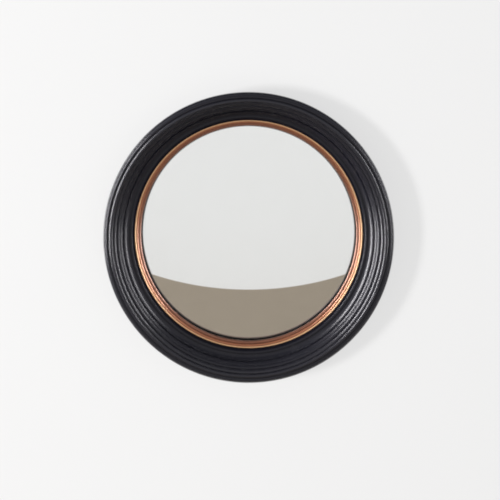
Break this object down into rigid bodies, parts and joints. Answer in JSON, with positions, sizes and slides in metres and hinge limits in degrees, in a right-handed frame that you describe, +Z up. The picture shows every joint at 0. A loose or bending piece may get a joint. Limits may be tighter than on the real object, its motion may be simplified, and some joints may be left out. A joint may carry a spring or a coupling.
{
  "type": "round convex wall mirror",
  "caption": "Round domed wall mirror in a deep reeded black frame with a copper sight ring, held from behind by a board, turn-buttons and two hanging rings.",
  "frame": {"origin": "centre of the rear rim, on the mirror's axis, in the plane of the wall", "axes": "+Y into the wall, so the mirror faces -Y; +Z up as hung; +X to the right of a person who looks into the mirror"},
  "size_m": [0.48, 0.057, 0.48],
  "materials": {
    "black_moulding": "satin black lacquer on a rigid moulded profile",
    "copper_finish": "burnished copper leaf paint",
    "black_gasket": "soft matte black tape",
    "clear_glass": "clear bent float glass",
    "silver_coat": "silver coat with grey-green paint on its rear",
    "grey_foam": "closed-cell foam strip",
    "hardboard": "tempered hardboard, smooth side out",
    "fibreboard": "raw medium-density fibreboard",
    "black_screw": "black phosphated steel",
    "zinc_steel": "bright zinc-plated steel",
    "ring_steel": "nickel-plated steel wire"
  },
  "bodies": {
    "mirror_body": {"frame_moulding": "black_moulding", "copper_sight_ring": "copper_finish", "front_gasket": "black_gasket", "mirror_glass": "clear_glass", "silver_backing": "silver_coat", "rear_foam_ring": "grey_foam", "back_board": "hardboard", "backing_ring": "fibreboard", "backing_ring_screws": "black_screw", "turn_button_screws": "zinc_steel", "hanger_screws": "zinc_steel", "hanger_strap_left": "zinc_steel", "hanger_strap_right": "zinc_steel"},
    "turn_button_1": {"turn_button_1": "zinc_steel"},
    "turn_button_2": {"turn_button_2": "zinc_steel"},
    "turn_button_3": {"turn_button_3": "zinc_steel"},
    "turn_button_4": {"turn_button_4": "zinc_steel"},
    "turn_button_5": {"turn_button_5": "zinc_steel"},
    "turn_button_6": {"turn_button_6": "zinc_steel"},
    "hanger_ring_left": {"hanger_ring_left": "ring_steel"},
    "hanger_ring_right": {"hanger_ring_right": "ring_steel"}
  },
  "joints": [
    {"name": "turn_button_1_spin", "type": "hinge", "parent": "mirror_body", "child": "turn_button_1", "pos_m": [0.197, -0.0063, 0], "axis": [0, 1, 0], "continuous": true},
    {"name": "turn_button_2_spin", "type": "hinge", "parent": "mirror_body", "child": "turn_button_2", "pos_m": [0.0985, -0.0063, 0.17061], "axis": [0, 1, 0], "continuous": true},
    {"name": "turn_button_3_spin", "type": "hinge", "parent": "mirror_body", "child": "turn_button_3", "pos_m": [-0.0985, -0.0063, 0.17061], "axis": [0, 1, 0], "continuous": true},
    {"name": "turn_button_4_spin", "type": "hinge", "parent": "mirror_body", "child": "turn_button_4", "pos_m": [-0.197, -0.0063, 0], "axis": [0, 1, 0], "continuous": true},
    {"name": "turn_button_5_spin", "type": "hinge", "parent": "mirror_body", "child": "turn_button_5", "pos_m": [-0.0985, -0.0063, -0.17061], "axis": [0, 1, 0], "continuous": true},
    {"name": "turn_button_6_spin", "type": "hinge", "parent": "mirror_body", "child": "turn_button_6", "pos_m": [0.0985, -0.0063, -0.17061], "axis": [0, 1, 0], "continuous": true},
    {"name": "hanger_ring_left_swing", "type": "hinge", "parent": "mirror_body", "child": "hanger_ring_left", "pos_m": [-0.188, -0.00462, 0.0805], "axis": [-1, 0, 0], "range_deg": [0, 160]},
    {"name": "hanger_ring_right_swing", "type": "hinge", "parent": "mirror_body", "child": "hanger_ring_right", "pos_m": [0.188, -0.00462, 0.0805], "axis": [-1, 0, 0], "range_deg": [0, 160]}
  ]
}
